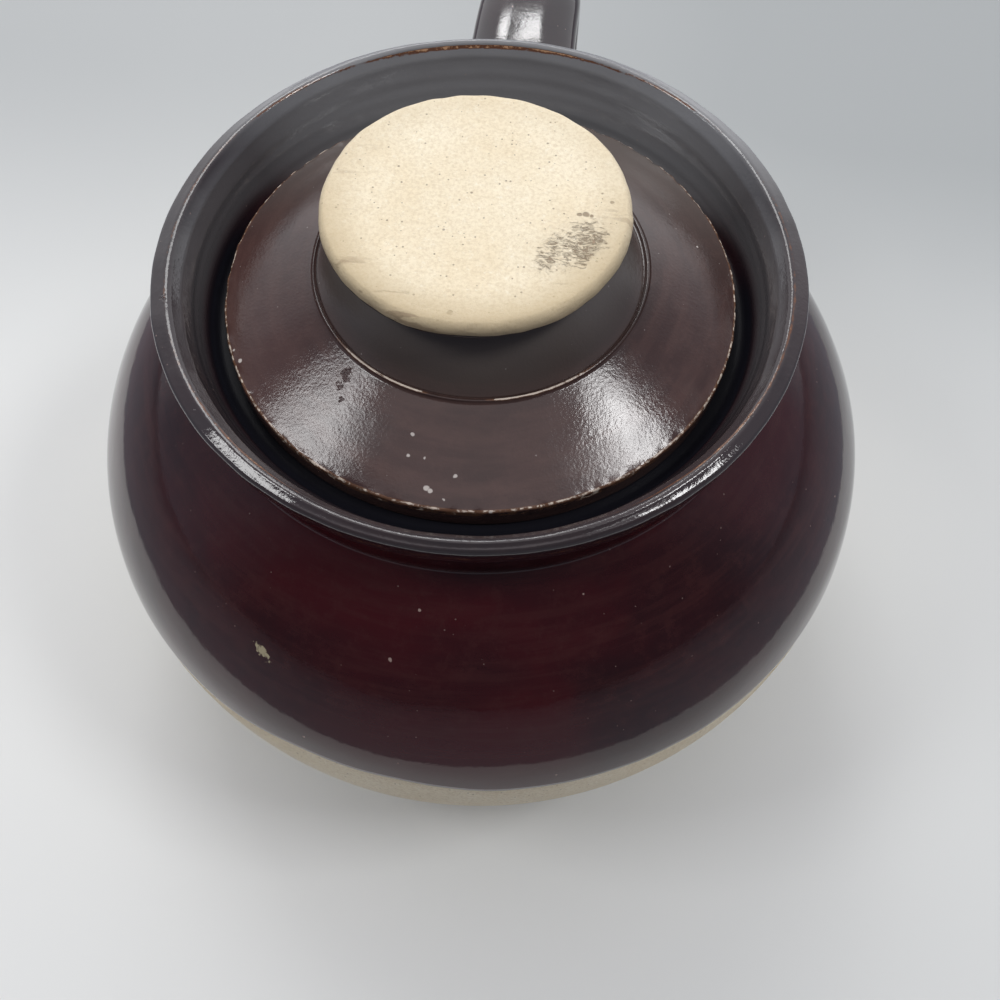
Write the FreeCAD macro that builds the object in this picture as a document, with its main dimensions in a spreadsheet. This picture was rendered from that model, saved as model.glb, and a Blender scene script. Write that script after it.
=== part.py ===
# Stoneware bean pot with a loose lid, in millimetres.
# The foot stands on z = 0, the pot is turned about the Z axis, and the handle is on the +Y side.
# Clay pieces: the pot body, its strap handle, the lid, and the knob on the lid.
import FreeCAD
import Part
import Sketcher
import math
import os
import re

os.makedirs("parts", exist_ok=True)
doc = FreeCAD.newDocument("BeanPot")

# Driving sizes: name, value, what it is.
SIZES = [
    ("footRadius", 58.0, "radius of the flat foot"),
    ("footBevel", 1.2, "bevel round the foot"),
    ("footStep", 3.5, "height where the upright foot ends"),
    ("bellyRadius", 90.2, "largest radius of the pot"),
    ("bellyHeight", 57.0, "height of the widest line"),
    ("shoulderRise", 49.7, "height of the neck's foot above the widest line"),
    ("neckSlope", 31.5, "degrees that the shoulder still rises at where it meets the neck"),
    ("neckHeight", 9.7, "height of the neck under the roll"),
    ("rimRadius", 63.5, "outside radius of the rolled rim"),
    ("rimOverhang", 3.7, "how far the roll stands out past the neck, and the round under it"),
    ("rimUpright", 1.1, "height of the upright outside of the roll"),
    ("rimWidth", 4.8, "width of the roll seen from above"),
    ("rimFlat", 0.7, "width of the flat on top of the roll"),
    ("rimInnerRound", 0.9, "rounding of the roll's inner top edge"),
    ("wallThickness", 6.0, "wall of the belly and shoulder"),
    ("floorThickness", 8.0, "floor of the pot"),
    ("floorInset", 10.0, "how much narrower the flat floor inside is than the foot"),
    ("seatDepth", 15.1, "depth of the lid's ledge below the rim"),
    ("collarTaper", 4.3, "how much narrower the collar is at the ledge than at the rim"),
    ("ledgeWidth", 8.4, "width of the ledge that the lid lies on"),
    ("ledgeThickness", 5.0, "thickness of the ledge at the opening"),
    ("ledgeRootInset", 1.8, "how far inside the neck's outside the ledge's underside starts"),
    ("lidGap", 3.0, "gap between the lid's edge and the foot of the collar"),
    ("lidEdge", 5.05, "height of the lid's square edge"),
    ("lidRise", 9.65, "height of the lid's cone above that edge"),
    ("lidCrown", 8.0, "thickness of the lid under its flat top"),
    ("plinthRadius", 33.6, "radius of the lid's flat top"),
    ("ringGap", 1.5, "gap between the locating ring and the opening"),
    ("ringDepth", 6.5, "depth of the locating ring below the ledge"),
    ("ringWidth", 5.0, "thickness of the locating ring"),
    ("knobInset", 0.5, "step between the lid's flat top and the knob"),
    ("knobRadius", 28.75, "radius of the knob's flat top"),
    ("knobHeight", 14.0, "height of the knob"),
    ("knobBevel", 0.6, "bevel round the knob's top"),
    ("knobSide", 2.4, "height of the upright side of the knob's disc"),
    ("discOverhang", 1.8, "how far the disc stands out past the waist"),
    ("discUnderside", 0.7, "rise of the disc's underside over that distance"),
    ("waistInset", 4.15, "how much narrower the waist's foot is than the disc"),
    ("waistRise", 2.2, "height of the waist's foot above the lid"),
    ("waistHollow", 1.7, "how deep the waist is hollowed"),
    ("handleWidth", 24.6, "width of the strap"),
    ("handleThickness", 12.0, "thickness of the strap"),
    ("handleSideFlat", 1.6, "height of the flat on each side of the strap"),
    ("handleDrop", 0.4, "gap between the roll's underside and the strap's top"),
    ("handleStandoff", 21.8, "how far the strap's back stands out past the belly"),
    ("handleUpperBend", 16.0, "radius of the strap's upper bend"),
    ("handleStraight", 1.1, "upright run between the two bends"),
    ("handleLowerBend", 12.0, "radius of the strap's lower bend"),
    ("handleSlope", 28.0, "degrees that the lower run falls at towards the belly"),
    ("handleBury", 14.0, "how far both ends of the strap's line run inside the pot"),
]

# Worked-out sizes: name, formula of the names above it.
WORKED = [
    # heights and radii that follow from the sizes of the pot
    ("neckFoot", "bellyHeight + shoulderRise"),
    ("neckRadius", "rimRadius - rimOverhang"),
    ("rollUnderside", "neckFoot + neckHeight"),
    ("rimOuterRound", "rimWidth - rimInnerRound - rimFlat"),
    ("rollTop", "rollUnderside + rimOverhang + rimUpright"),
    ("rimTop", "rollTop + rimOuterRound"),
    ("collarRadius", "rimRadius - rimWidth"),
    ("seatHeight", "rimTop - seatDepth"),
    ("seatRadius", "collarRadius - collarTaper"),
    ("mouthRadius", "seatRadius - ledgeWidth"),
    ("ledgeRoot", "neckRadius - ledgeRootInset"),
    # the lower belly: one arc, upright at the widest line
    ("footArc", "((bellyRadius - footRadius) ^ 2 + (bellyHeight - footStep) ^ 2)"
                " / (2 * (bellyRadius - footRadius))"),
    # the upper belly and the shoulder: two arcs that run into each other, upright at the widest
    # line and at the neck's slope where they end
    ("neckAcross", "bellyRadius - neckRadius"),
    ("slopeGap", "1 - sin(neckSlope)"),
    ("alongBoth", "neckAcross * cos(neckSlope) + shoulderRise * (1 + sin(neckSlope))"),
    ("arcReach", "(sqrt(alongBoth ^ 2 + 2 * slopeGap * (neckAcross ^ 2 + shoulderRise ^ 2)) - alongBoth)"
                 " / (2 * slopeGap)"),
    ("turnRadius", "(bellyRadius + neckRadius + arcReach * cos(neckSlope)) / 2"),
    ("turnHeight", "(bellyHeight + neckFoot + arcReach * slopeGap) / 2"),
    ("bellyArc", "((bellyRadius - turnRadius) ^ 2 + (turnHeight - bellyHeight) ^ 2)"
                 " / (2 * (bellyRadius - turnRadius))"),
    ("shoulderArc", "((turnRadius - neckRadius) ^ 2 + (neckFoot - turnHeight) ^ 2)"
                    " / (2 * ((neckFoot - turnHeight) * cos(neckSlope)"
                    " - (turnRadius - neckRadius) * sin(neckSlope)))"),
    ("bellyCentre", "bellyRadius - bellyArc"),
    ("shoulderCentre", "neckRadius - shoulderArc * sin(neckSlope)"),
    ("shoulderBase", "neckFoot - shoulderArc * cos(neckSlope)"),
    # the inside, one wall thickness in from the same centres
    ("floorRadius", "footRadius - floorInset"),
    ("bellyInside", "bellyRadius - wallThickness"),
    ("floorArc", "((bellyInside - floorRadius) ^ 2 + (bellyHeight - floorThickness) ^ 2)"
                 " / (2 * (bellyInside - floorRadius))"),
    ("bellyInnerArc", "bellyArc - wallThickness"),
    ("shoulderInnerArc", "shoulderArc - wallThickness"),
    ("innerTurnRadius", "turnRadius - (turnRadius - bellyCentre) * wallThickness / bellyArc"),
    ("innerTurnHeight", "turnHeight - (turnHeight - bellyHeight) * wallThickness / bellyArc"),
    ("ledgeRootHeight", "shoulderBase + sqrt(shoulderInnerArc ^ 2 - (ledgeRoot - shoulderCentre) ^ 2)"),
    # the lid, which lies on the ledge
    ("lidRadius", "seatRadius - lidGap"),
    ("lidShoulder", "seatHeight + lidEdge"),
    ("plinthTop", "lidShoulder + lidRise"),
    ("lidUnderside", "plinthTop - lidCrown"),
    ("ringRadius", "mouthRadius - ringGap"),
    ("ringInside", "ringRadius - ringWidth"),
    ("ringFoot", "seatHeight - ringDepth"),
    ("coneFall", "lidRise / (lidRadius - plinthRadius)"),
    ("ringRootHeight", "lidUnderside - (ringInside - plinthRadius) * coneFall"),
    # the knob, which stands on the lid's flat top
    ("knobFoot", "plinthRadius - knobInset"),
    ("knobTop", "plinthTop + knobHeight"),
    ("discSideTop", "knobTop - knobBevel"),
    ("discSideFoot", "discSideTop - knobSide"),
    ("waistTop", "discSideFoot - discUnderside"),
    ("waistTopRadius", "knobRadius - discOverhang"),
    ("waistFoot", "plinthTop + waistRise"),
    ("waistFootRadius", "knobRadius - waistInset"),
    ("waistArc", "(((waistTop - waistFoot) ^ 2 + (waistTopRadius - waistFootRadius) ^ 2) / 4"
                 " + waistHollow ^ 2) / (2 * waistHollow)"),
    # the handle's middle line, and the outline across it
    ("strapTop", "rollUnderside - handleDrop"),
    ("strapFoot", "strapTop - handleThickness"),
    ("strapRound", "(handleThickness - handleSideFlat) / 2"),
    ("strapSide", "handleWidth / 2"),
    ("strapFlat", "strapSide - strapRound"),
    ("strapLine", "strapTop - handleThickness / 2"),
    ("strapRoot", "neckRadius - handleBury"),
    ("strapBack", "bellyRadius + handleStandoff - handleThickness / 2"),
    ("upperBendStart", "strapBack - handleUpperBend"),
    ("upperBendFoot", "strapLine - handleUpperBend"),
    ("lowerBendTop", "upperBendFoot - handleStraight"),
    ("lowerBendRadius", "strapBack - handleLowerBend * (1 - sin(handleSlope))"),
    ("lowerBendFoot", "lowerBendTop - handleLowerBend * cos(handleSlope)"),
    ("strapEndRadius", "bellyRadius - handleBury"),
    ("strapEndHeight", "lowerBendFoot - (lowerBendRadius - strapEndRadius) * tan(handleSlope)"),
]


def make_sheet(name, rows):
    sheet = doc.addObject("Spreadsheet::Sheet", name)
    for row, (alias, content, meaning) in enumerate(rows, start=1):
        sheet.set(f"A{row}", alias)
        sheet.set(f"B{row}", content)
        sheet.setAlias(f"B{row}", alias)
        sheet.set(f"C{row}", meaning)
    return sheet


home = {alias: "Sizes" for alias, value, meaning in SIZES}


def in_sheets(formula):
    """Turn a formula of bare names into one that reads the two sheets."""
    def placed(match):
        word = match[0]
        return f"{home[word]}.{word}" if word in home else word

    return re.sub(r"[A-Za-z]\w*", placed, formula)


sizes = make_sheet("Sizes", [(alias, str(value), meaning) for alias, value, meaning in SIZES])
doc.recompute()
worked_rows = []
for alias, formula in WORKED:
    worked_rows.append((alias, "=" + in_sheets(formula).replace("Worked.", ""), "worked out"))
    home[alias] = "Worked"
worked = make_sheet("Worked", worked_rows)
doc.recompute()


def number(formula):
    """The present value of a formula."""
    result = worked.evalExpression(in_sheets(formula))
    return float(getattr(result, "Value", result))


# ---- sketching: a sketch's edge -1 is its level axis, which starts at the origin, and edge -2 is
# its upright axis

START, END = 1, 2


def new_sketch(body, name, plane_role, offset=None):
    """A sketch on one of the body's own origin planes, moved along the plane's normal by offset."""
    plane = next(item for item in body.Origin.OriginFeatures if item.Role == plane_role)
    sketch = body.newObject("Sketcher::SketchObject", name)
    sketch.AttachmentSupport = [(plane, "")]
    sketch.MapMode = "FlatFace"
    if offset:
        sketch.setExpression("AttachmentOffset.Base.z", in_sheets(offset))
    return sketch


def bind(sketch, constraint, formula):
    """Add a dimension that follows the sheets."""
    index = sketch.addConstraint(constraint)
    sketch.setExpression(f"Constraints[{index}]", in_sheets(formula))


def pin(sketch, edge, end, across, up):
    """Fix one end of an edge. A zero formula puts it on the axis."""
    if across == "0":
        sketch.addConstraint(Sketcher.Constraint("PointOnObject", edge, end, -2))
    else:
        bind(sketch, Sketcher.Constraint("DistanceX", -1, START, edge, end, number(across)), across)
    if up == "0":
        sketch.addConstraint(Sketcher.Constraint("PointOnObject", edge, end, -1))
    else:
        bind(sketch, Sketcher.Constraint("DistanceY", -1, START, edge, end, number(up)), up)


def arc_between(start, stop, radius, left):
    """A short arc whose centre is on the left or the right of the way from start to stop."""
    chord = stop - start
    away = math.sqrt(max(radius ** 2 - chord.Length ** 2 / 4, 0.0))
    side = FreeCAD.Vector(-chord.y, chord.x, 0).normalize() * (1 if left else -1)
    circle = Part.Circle((start + stop) * 0.5 + side * away, FreeCAD.Vector(0, 0, 1), radius)
    first, last = (start, stop) if left else (stop, start)
    return Part.ArcOfCircle(circle, circle.parameter(first), circle.parameter(last))


def draw(sketch, corners, closed=True):
    """Draw an outline from corner to corner.

    A corner is (across, up), and a third word says how the way to the next corner goes:
    "left RADIUS" or "right RADIUS" is an arc with its centre on that side.
    """
    points = [FreeCAD.Vector(number(corner[0]), number(corner[1]), 0) for corner in corners]
    edges = []
    for index, corner in enumerate(corners if closed else corners[:-1]):
        start = points[index]
        stop = points[(index + 1) % len(points)]
        if len(corner) == 2:
            edge = sketch.addGeometry(Part.LineSegment(start, stop))
            edges.append((edge, START, END))
        else:
            side, radius = corner[2].split()
            left = side == "left"
            edge = sketch.addGeometry(arc_between(start, stop, number(radius), left))
            edges.append((edge, START, END) if left else (edge, END, START))
            bind(sketch, Sketcher.Constraint("Radius", edge, number(radius)), radius)
        pin(sketch, edge, edges[-1][1], corner[0], corner[1])
    for index, (edge, first, last) in enumerate(edges):
        if index + 1 < len(edges) or closed:
            next_edge, next_first, next_last = edges[(index + 1) % len(edges)]
            sketch.addConstraint(Sketcher.Constraint("Coincident", edge, last, next_edge, next_first))
        else:
            pin(sketch, edge, last, corners[-1][0], corners[-1][1])


def turned(name, corners):
    """A body turned about the Z axis from a half section."""
    body = doc.addObject("PartDesign::Body", name)
    section = new_sketch(body, name + "Section", "XZ_Plane")
    draw(section, corners)
    revolution = body.newObject("PartDesign::Revolution", name + "Turned")
    revolution.Profile = section
    revolution.ReferenceAxis = (section, ["V_Axis"])
    revolution.Angle = 360
    return body


def cut(name, base, tool):
    result = doc.addObject("Part::Cut", name)
    result.Base = base
    result.Tool = tool
    return result


# ---- pot body: the solid outside, less the inside

outside = turned("PotOutside", [
    ("0", "0"),
    ("footRadius - footBevel", "0"),
    ("footRadius", "footBevel"),
    ("footRadius", "footStep", "left footArc"),
    ("bellyRadius", "bellyHeight", "left bellyArc"),
    ("turnRadius", "turnHeight", "left shoulderArc"),
    ("neckRadius", "neckFoot"),
    ("neckRadius", "rollUnderside", "left rimOverhang"),
    ("rimRadius", "rollUnderside + rimOverhang"),
    ("rimRadius", "rollTop", "left rimOuterRound"),
    ("rimRadius - rimOuterRound", "rimTop"),
    ("0", "rimTop"),
])

inside = turned("PotInside", [
    ("0", "floorThickness"),
    ("floorRadius", "floorThickness", "left floorArc"),
    ("bellyInside", "bellyHeight", "left bellyInnerArc"),
    ("innerTurnRadius", "innerTurnHeight", "left shoulderInnerArc"),
    ("ledgeRoot", "ledgeRootHeight"),
    ("mouthRadius", "seatHeight - ledgeThickness"),
    ("mouthRadius", "seatHeight"),
    ("seatRadius", "seatHeight"),
    ("collarRadius", "rimTop - rimInnerRound", "right rimInnerRound"),
    ("collarRadius + rimInnerRound", "rimTop"),
    ("0", "rimTop"),
])

pot_body = cut("pot_body", outside, inside)

# ---- handle: a flat strap swept along a line in the YZ plane, trimmed to the pot's outside

strap = doc.addObject("PartDesign::Body", "Strap")
strap_line = new_sketch(strap, "StrapLine", "YZ_Plane")
draw(strap_line, [
    ("strapRoot", "strapLine"),
    ("upperBendStart", "strapLine", "right handleUpperBend"),
    ("strapBack", "upperBendFoot"),
    ("strapBack", "lowerBendTop", "right handleLowerBend"),
    ("lowerBendRadius", "lowerBendFoot"),
    ("strapEndRadius", "strapEndHeight"),
], closed=False)

strap_section = new_sketch(strap, "StrapSection", "XZ_Plane", offset="-strapRoot")
draw(strap_section, [
    ("-strapFlat", "strapFoot"),
    ("strapFlat", "strapFoot", "left strapRound"),
    ("strapSide", "strapFoot + strapRound"),
    ("strapSide", "strapTop - strapRound", "left strapRound"),
    ("strapFlat", "strapTop"),
    ("-strapFlat", "strapTop", "left strapRound"),
    ("-strapSide", "strapTop - strapRound"),
    ("-strapSide", "strapFoot + strapRound", "left strapRound"),
])

strap_sweep = strap.newObject("PartDesign::AdditivePipe", "StrapSweep")
strap_sweep.Profile = strap_section
strap_sweep.Spine = (strap_line, [f"Edge{index + 1}" for index in range(strap_line.GeometryCount)])

handle = cut("handle", strap, outside)

# ---- lid: a cone with a flat top, a square edge, and a ring below that keeps it in the opening

lid = turned("lid", [
    ("0", "lidUnderside"),
    ("plinthRadius", "lidUnderside"),
    ("ringInside", "ringRootHeight"),
    ("ringInside", "ringFoot"),
    ("ringRadius", "ringFoot"),
    ("ringRadius", "seatHeight"),
    ("lidRadius", "seatHeight"),
    ("lidRadius", "lidShoulder"),
    ("plinthRadius", "plinthTop"),
    ("0", "plinthTop"),
])

# ---- knob: a hollowed waist under a flat disc

lid_knob = turned("lid_knob", [
    ("0", "plinthTop"),
    ("knobFoot", "plinthTop"),
    ("waistFootRadius", "waistFoot", "right waistArc"),
    ("waistTopRadius", "waistTop"),
    ("knobRadius", "discSideFoot"),
    ("knobRadius", "discSideTop"),
    ("knobRadius - knobBevel", "knobTop"),
    ("0", "knobTop"),
])

# ---- check and write

doc.recompute()
for item in doc.Objects:
    if "Invalid" in item.State or "Error" in item.State:
        raise RuntimeError(f"{item.Name} did not recompute: {item.State}")

for piece in (pot_body, handle, lid, lid_knob):
    shape = piece.Shape
    if shape.isNull() or not shape.isValid() or len(shape.Solids) != 1:
        raise RuntimeError(f"{piece.Label} is not one good solid")
    shape.exportStep(f"parts/{piece.Label}.step")
    print(f"{piece.Label}: {shape.Volume / 1000:.1f} cm3")
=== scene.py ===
# Looks of the stoneware bean pot: a glazed pot with a bare clay foot, its strap handle, and a loose
# lid with a bare clay knob. Outlines are drawn in millimetres and then scaled to metres.
import math
import bmesh
import bpy
from mathutils import Matrix, Vector, noise


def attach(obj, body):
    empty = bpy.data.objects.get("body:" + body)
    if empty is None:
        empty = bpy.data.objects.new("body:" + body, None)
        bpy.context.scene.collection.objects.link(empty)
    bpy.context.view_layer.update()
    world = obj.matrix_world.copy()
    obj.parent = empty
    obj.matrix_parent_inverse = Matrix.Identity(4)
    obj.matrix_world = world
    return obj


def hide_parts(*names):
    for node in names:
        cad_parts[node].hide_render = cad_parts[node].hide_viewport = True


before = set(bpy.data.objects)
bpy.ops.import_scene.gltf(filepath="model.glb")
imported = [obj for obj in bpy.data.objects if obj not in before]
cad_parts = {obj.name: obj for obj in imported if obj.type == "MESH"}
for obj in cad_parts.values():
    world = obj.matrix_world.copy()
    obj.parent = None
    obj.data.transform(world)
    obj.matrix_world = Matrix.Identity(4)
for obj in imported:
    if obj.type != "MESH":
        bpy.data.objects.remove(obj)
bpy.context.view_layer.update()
mm = 0.001
upAxis = (0, 0, 1)
weldDistance = 0.002
ringTolerance = 0.02
print("frame loaded")


# Draws a half section in the XZ plane. A move is its end, its number of steps and, for an arc, the
# arc's centre. Straight runs are extruded from the last point and arcs are spun from it.
def drawSection(start, moves):
    bm = bmesh.new()
    tip = bm.verts.new((start[0], 0, start[1]))
    for end, steps, *centre in moves:
        if centre:
            across, up = centre[0]
            before = math.atan2(tip.co.z - up, tip.co.x - across)
            after = math.atan2(end[1] - up, end[0] - across)
            turn = (before - after + math.pi) % math.tau - math.pi
            spun = bmesh.ops.spin(bm, geom=[tip], cent=(across, 0, up), axis=(0, 1, 0),
                                  angle=turn, steps=steps)
            tip = next(item for item in spun["geom_last"] if isinstance(item, bmesh.types.BMVert))
        else:
            stride = (Vector((end[0], 0, end[1])) - tip.co) / steps
            for step in range(steps):
                tip = bmesh.ops.extrude_vert_indiv(bm, verts=[tip])["verts"][0]
                bmesh.ops.translate(bm, verts=[tip], vec=stride)
    return bm


# Turns the section round the pot's axis and closes the poles.
def turnSection(bm, steps):
    bmesh.ops.spin(bm, geom=bm.verts[:] + bm.edges[:], cent=(0, 0, 0), axis=upAxis,
                   angle=math.tau, steps=steps, use_merge=True)
    bmesh.ops.remove_doubles(bm, verts=bm.verts, dist=weldDistance)
    bmesh.ops.recalc_face_normals(bm, faces=bm.faces)
    return bm


def ringEdges(bm, radius, height):
    def onRing(vert):
        return (abs(math.hypot(vert.co.x, vert.co.y) - radius) < ringTolerance
                and abs(vert.co.z - height) < ringTolerance)
    return [edge for edge in bm.edges if onRing(edge.verts[0]) and onRing(edge.verts[1])]


# Rounds the sharp rings of a turned shape. A ring is its radius, height and rounding.
def roundRings(bm, rings):
    for radius, height, rounding in rings:
        bmesh.ops.bevel(bm, geom=ringEdges(bm, radius, height), offset=rounding, affect="EDGES",
                        segments=3, profile=0.5, material=-1)


# Moves each point along its normal by soft noise, so that no surface is machine perfect.
def handThrown(bm, amount, size, seed, where=None):
    bm.normal_update()
    for vert in bm.verts:
        share = 1 if where is None else where(vert.co)
        if share:
            vert.co += vert.normal * amount * share * noise.noise(vert.co / size + Vector((seed, 0, 0)))


def smoothStep(value, low, high):
    share = min(max((value - low) / (high - low), 0), 1)
    return share * share * (3 - 2 * share)


# Writes how worn each point is, from rings (radius, height, reach, strength) that stand proud, where some
# rings and edges are painted glints; how much painted light (veil, reflection, edge shade) lies on it; and
# how much painted shade darkens the ledge.
def paintWearAndLight(bm, rings, extra=None, paintedLightMask=None, ledgeShade=None):
    wearAndGlintLayer = bm.verts.layers.float.new("wearAndGlint")
    paintedLightLayer = bm.verts.layers.float.new("paintedLight")
    ledgeShadeLayer = bm.verts.layers.float.new("ledgeShade")
    for vert in bm.verts:
        vert[paintedLightLayer] = paintedLightMask(vert.co) if paintedLightMask else 0
        vert[ledgeShadeLayer] = ledgeShade(vert.co) if ledgeShade else 0
        radius = math.hypot(vert.co.x, vert.co.y)
        wearAndGlintLevel = extra(vert.co) if extra else 0
        for ringRadius, ringHeight, reach, strength in rings:
            away = math.hypot(radius - ringRadius, vert.co.z - ringHeight)
            wearAndGlintLevel = max(wearAndGlintLevel, strength * (1 - smoothStep(away, 0, reach)))
        vert[wearAndGlintLayer] = wearAndGlintLevel


def finishPiece(bm, name, material, body, slot, *nodes):
    bmesh.ops.scale(bm, verts=bm.verts, vec=(mm, mm, mm))
    bmesh.ops.recalc_face_normals(bm, faces=bm.faces)
    for face in bm.faces:
        face.smooth = True
    mesh = bpy.data.meshes.new(name)
    bm.to_mesh(mesh)
    bm.free()
    mesh.materials.append(material)
    piece = bpy.data.objects.new(name, mesh)
    bpy.context.scene.collection.objects.link(piece)
    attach(piece, body)
    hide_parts(*nodes)
    print(name, len(mesh.polygons), "faces")


# The next functions build shader nodes.

def startMaterial(name):
    material = bpy.data.materials.new(name)
    material.use_nodes = True
    tree = material.node_tree
    shader = tree.nodes["Principled BSDF"]
    where = tree.nodes.new("ShaderNodeTexCoord").outputs["Object"]
    return material, tree, shader, where


def feed(tree, socket, value):
    if isinstance(value, bpy.types.NodeSocket):
        tree.links.new(value, socket)
    else:
        socket.default_value = value


def mixColours(tree, share, first, second):
    node = tree.nodes.new("ShaderNodeMix")
    node.data_type = "RGBA"
    feed(tree, node.inputs[0], share)
    for socket, colour in ((node.inputs[6], first), (node.inputs[7], second)):
        feed(tree, socket, colour if isinstance(colour, bpy.types.NodeSocket) else (*colour, 1))
    return node.outputs[2]


# Mixes a colour in by a share that is cut down by a factor.
def tint(tree, share, factor, colour, added):
    return mixColours(tree, maths(tree, "MULTIPLY", share, factor), colour, added)


def grain(tree, where, size, detail=3, roughness=0.5, stretch=None, distortion=0):
    if stretch:
        mapping = tree.nodes.new("ShaderNodeMapping")
        mapping.inputs["Scale"].default_value = stretch
        tree.links.new(where, mapping.inputs["Vector"])
        where = mapping.outputs["Vector"]
    node = tree.nodes.new("ShaderNodeTexNoise")
    tree.links.new(where, node.inputs["Vector"])
    node.inputs["Scale"].default_value = 1 / size
    node.inputs["Detail"].default_value = detail
    node.inputs["Roughness"].default_value = roughness
    node.inputs["Distortion"].default_value = distortion
    return node.outputs["Fac"]


# Round flecks, 1 at the middle of each fleck. Only the given share of the cells has one.
def flecks(tree, where, spacing, radius, share):
    node = tree.nodes.new("ShaderNodeTexVoronoi")
    tree.links.new(where, node.inputs["Vector"])
    node.inputs["Scale"].default_value = 1 / spacing
    picked = tree.nodes.new("ShaderNodeSeparateColor")
    tree.links.new(node.outputs["Color"], picked.inputs["Color"])
    size = maths(tree, "MULTIPLY", picked.outputs["Green"], radius / spacing)
    near = maths(tree, "LESS_THAN", node.outputs["Distance"], size)
    return maths(tree, "MULTIPLY", near, maths(tree, "LESS_THAN", picked.outputs["Red"], share))


def maths(tree, operation, first, second=0.0, clamp=False):
    node = tree.nodes.new("ShaderNodeMath")
    node.operation = operation
    node.use_clamp = clamp
    feed(tree, node.inputs[0], first)
    feed(tree, node.inputs[1], second)
    return node.outputs[0]


def spread(tree, value, low, high, outLow=0.0, outHigh=1.0):
    node = tree.nodes.new("ShaderNodeMapRange")
    node.interpolation_type = "SMOOTHSTEP"
    feed(tree, node.inputs["Value"], value)
    for name, number in (("From Min", low), ("From Max", high), ("To Min", outLow), ("To Max", outHigh)):
        node.inputs[name].default_value = number
    return node.outputs["Result"]


def attribute(tree, name):
    node = tree.nodes.new("ShaderNodeAttribute")
    node.attribute_name = name
    return node.outputs["Fac"]


def bump(tree, height, strength, distance, normal=None):
    node = tree.nodes.new("ShaderNodeBump")
    feed(tree, node.inputs["Strength"], strength)
    node.inputs["Distance"].default_value = distance
    tree.links.new(height, node.inputs["Height"])
    if normal:
        tree.links.new(normal, node.inputs["Normal"])
    return node.outputs["Normal"]


# Soft-edged spots. A place is its x, y, z and radius in millimetres; wobble makes them ragged.
spotRecipe = {"raggedScale": 900, "core": 0.6}


def spots(tree, where, places, wobble=0.0006):
    ragged = tree.nodes.new("ShaderNodeTexNoise")
    tree.links.new(where, ragged.inputs["Vector"])
    ragged.inputs["Scale"].default_value = spotRecipe["raggedScale"]
    moved = tree.nodes.new("ShaderNodeVectorMath")
    moved.operation = "MULTIPLY_ADD"
    tree.links.new(ragged.outputs["Color"], moved.inputs[0])
    moved.inputs[1].default_value = (wobble, wobble, wobble)
    tree.links.new(where, moved.inputs[2])
    total = 0.0
    for x, y, z, radius in places:
        away = tree.nodes.new("ShaderNodeVectorMath")
        away.operation = "DISTANCE"
        tree.links.new(moved.outputs[0], away.inputs[0])
        away.inputs[1].default_value = Vector((x, y, z)) * mm + Vector((wobble, wobble, wobble)) / 2
        near = spread(tree, away.outputs["Value"], radius * mm, radius * mm * spotRecipe["core"])
        total = near if total == 0.0 else maths(tree, "MAXIMUM", total, near)
    return total


# What all glazes share. A grain is its size, detail and roughness; a fade is where it starts and
# where it is full; flecks are their spacing, radius and share; a bump is its strength and distance.
glazeRecipe = {
    "cloudDetail": (4, 0.55), "cloudFade": (0.35, 0.7), "cloudDistortion": 0.4,
    "streakGrain": (0.02, 3, 0.6), "streakStretch": (1, 1, 14), "streakFade": (0.4, 0.72),
    "mottleGrain": (0.0045, 5, 0.75), "mottleFade": (0.46, 0.72),
    "crownRise": 0.004, "crownShare": 0.75,
    "brokenGrain": (0.0016, 5, 0.7), "brokenShare": 0.9, "amberFade": (0.80, 1.07), "tanFade": (1.14, 1.24),
    "dustFlecks": (0.0019, 0.00019, 0.28), "markWobble": 0.003, "smearShare": 0.75,
    "bruiseFade": (0.3, 0.6), "bruiseShare": 0.8, "bruiseBump": (0.6, -0.0003),
    "specular": (0.5, 0.06), "glossGrain": (0.012, 4, 0.6), "glossFade": (0.3, 0.7), "roughShare": 0.35,
    "rippleGrain": (0.007, 2, 0.4), "rippleDistance": 0.001, "peelDetail": (3, 0.6), "peelDistance": 0.0003,
    "pitFlecks": (0.0042, 0.0004, 0.3), "pitBump": (0.5, -0.0002),
}
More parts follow.
